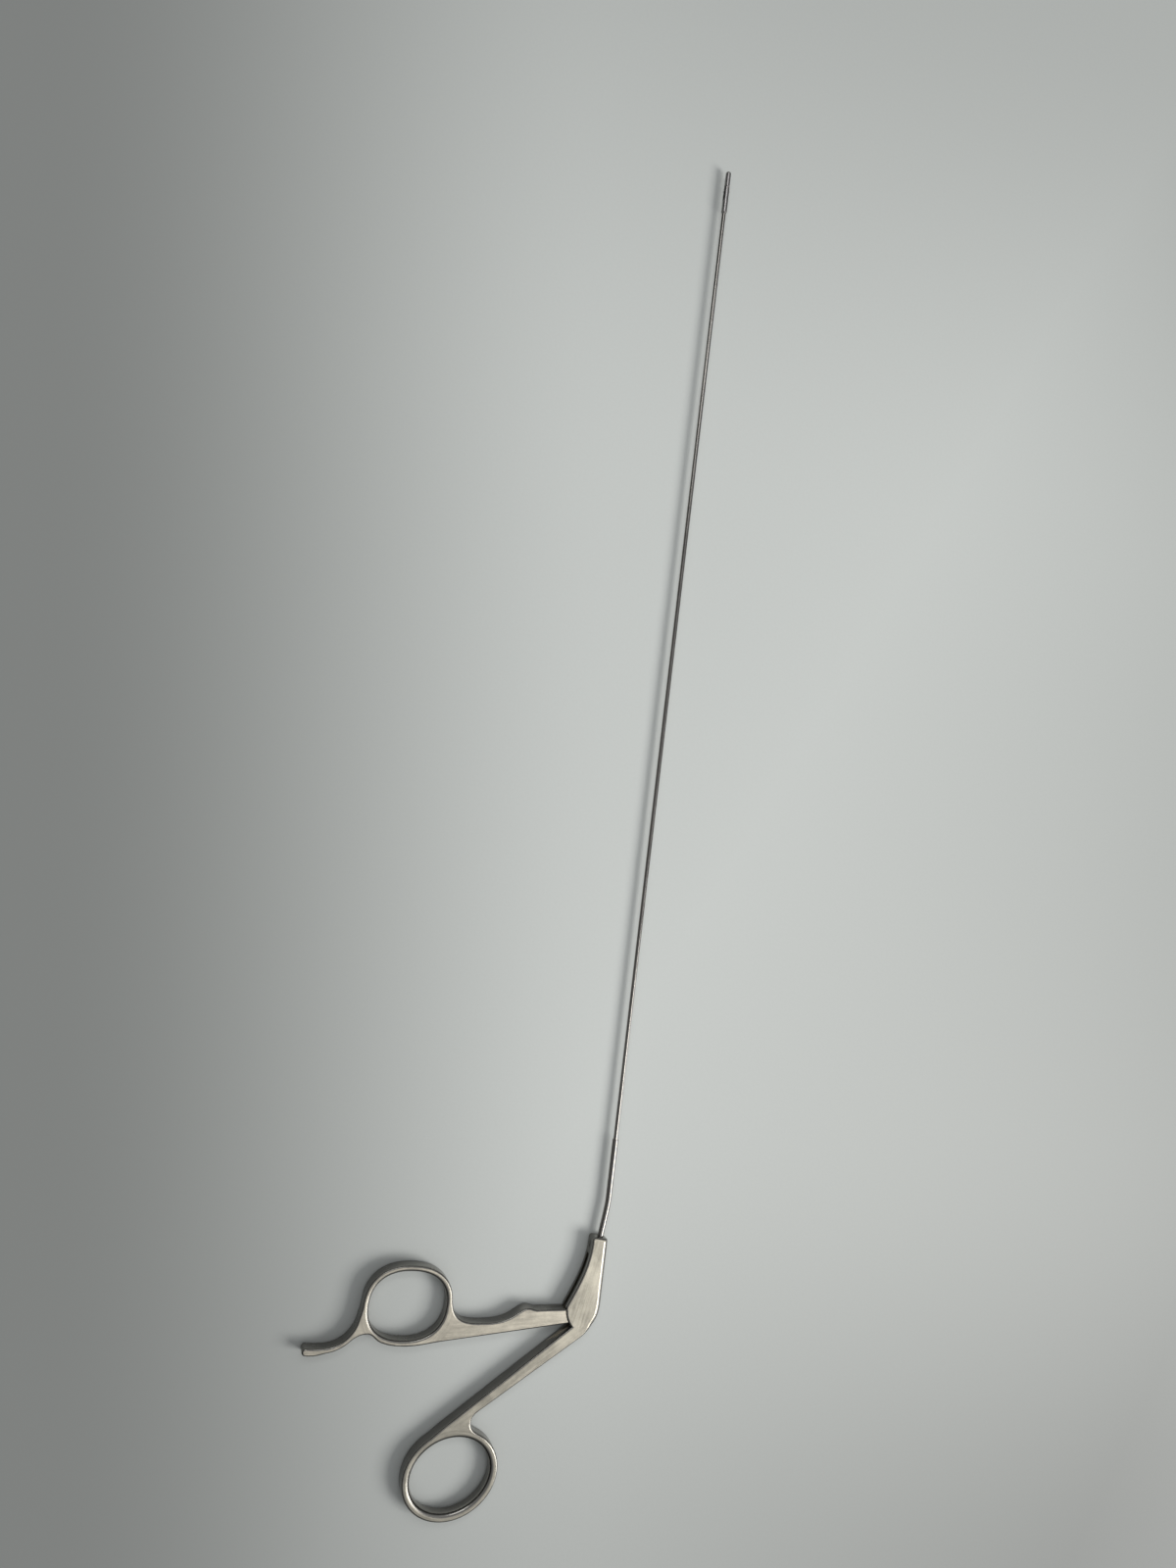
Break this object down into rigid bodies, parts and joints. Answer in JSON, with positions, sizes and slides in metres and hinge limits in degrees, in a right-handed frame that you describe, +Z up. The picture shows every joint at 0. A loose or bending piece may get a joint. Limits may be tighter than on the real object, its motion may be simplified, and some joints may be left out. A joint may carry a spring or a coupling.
{
  "type": "grasping forceps",
  "caption": "Long slim grasping forceps with a ring handle, a finger hook, an offset tube with a stiffening sleeve, and small toothed jaws that open together.",
  "frame": {"origin": "where the axis of the handle pivot meets the flat face that the handle lies on", "axes": "+Z up, along the handle pivot, out of the surface that the forceps lie on; +Y along the thin tube towards the jaws; +X away from the finger rings"},
  "size_m": [0.1167, 0.5527, 0.006],
  "materials": {
    "handle_steel": "satin blasted and brushed stainless steel",
    "sleeve_steel": "satin stainless steel, lightly polished",
    "tube_steel": "drawn stainless steel with a fine lengthwise polish",
    "pin_steel": "ground stainless steel, ends dressed flush",
    "jaw_steel": "satin stainless steel",
    "wire_steel": "bright drawn spring steel"
  },
  "bodies": {
    "fixed_half": {"fixed_handle": "handle_steel", "pivot_pin": "pin_steel", "sleeve_tube": "sleeve_steel", "shaft_tube": "tube_steel", "jaw_carrier": "jaw_steel", "jaw_pin": "pin_steel"},
    "moving_half": {"moving_handle": "handle_steel", "link_pin": "pin_steel"},
    "drive_rod": {"rod_end": "wire_steel", "drive_wire": "wire_steel", "crosshead": "wire_steel", "drive_pin": "pin_steel"},
    "left_jaw": {"jaw_left": "jaw_steel"},
    "right_jaw": {"jaw_right": "jaw_steel"}
  },
  "joints": [
    {"name": "handle_pivot", "type": "hinge", "parent": "fixed_half", "child": "moving_half", "pos_m": [0, 0, 0.003], "axis": [0, 0, -1], "range_deg": [0, 15]},
    {"name": "rod_slide", "type": "slide", "parent": "fixed_half", "child": "drive_rod", "axis": [0, 1, 0], "range_m": [0, 0.00081]},
    {"name": "jaw_left_pivot", "type": "hinge", "parent": "fixed_half", "child": "left_jaw", "pos_m": [0.0019, 0.464, 0.003], "axis": [0, 0, 1], "range_deg": [0, 26.01]},
    {"name": "jaw_right_pivot", "type": "hinge", "parent": "fixed_half", "child": "right_jaw", "pos_m": [0.0019, 0.464, 0.003], "axis": [0, 0, -1], "range_deg": [0, 26.01]}
  ],
  "couplings": [
    {"joint": "rod_slide", "follows": "handle_pivot", "m_per_rad": 0.0030864},
    {"joint": "jaw_left_pivot", "follows": "handle_pivot", "ratio": 1.7333},
    {"joint": "jaw_right_pivot", "follows": "handle_pivot", "ratio": 1.7333}
  ]
}
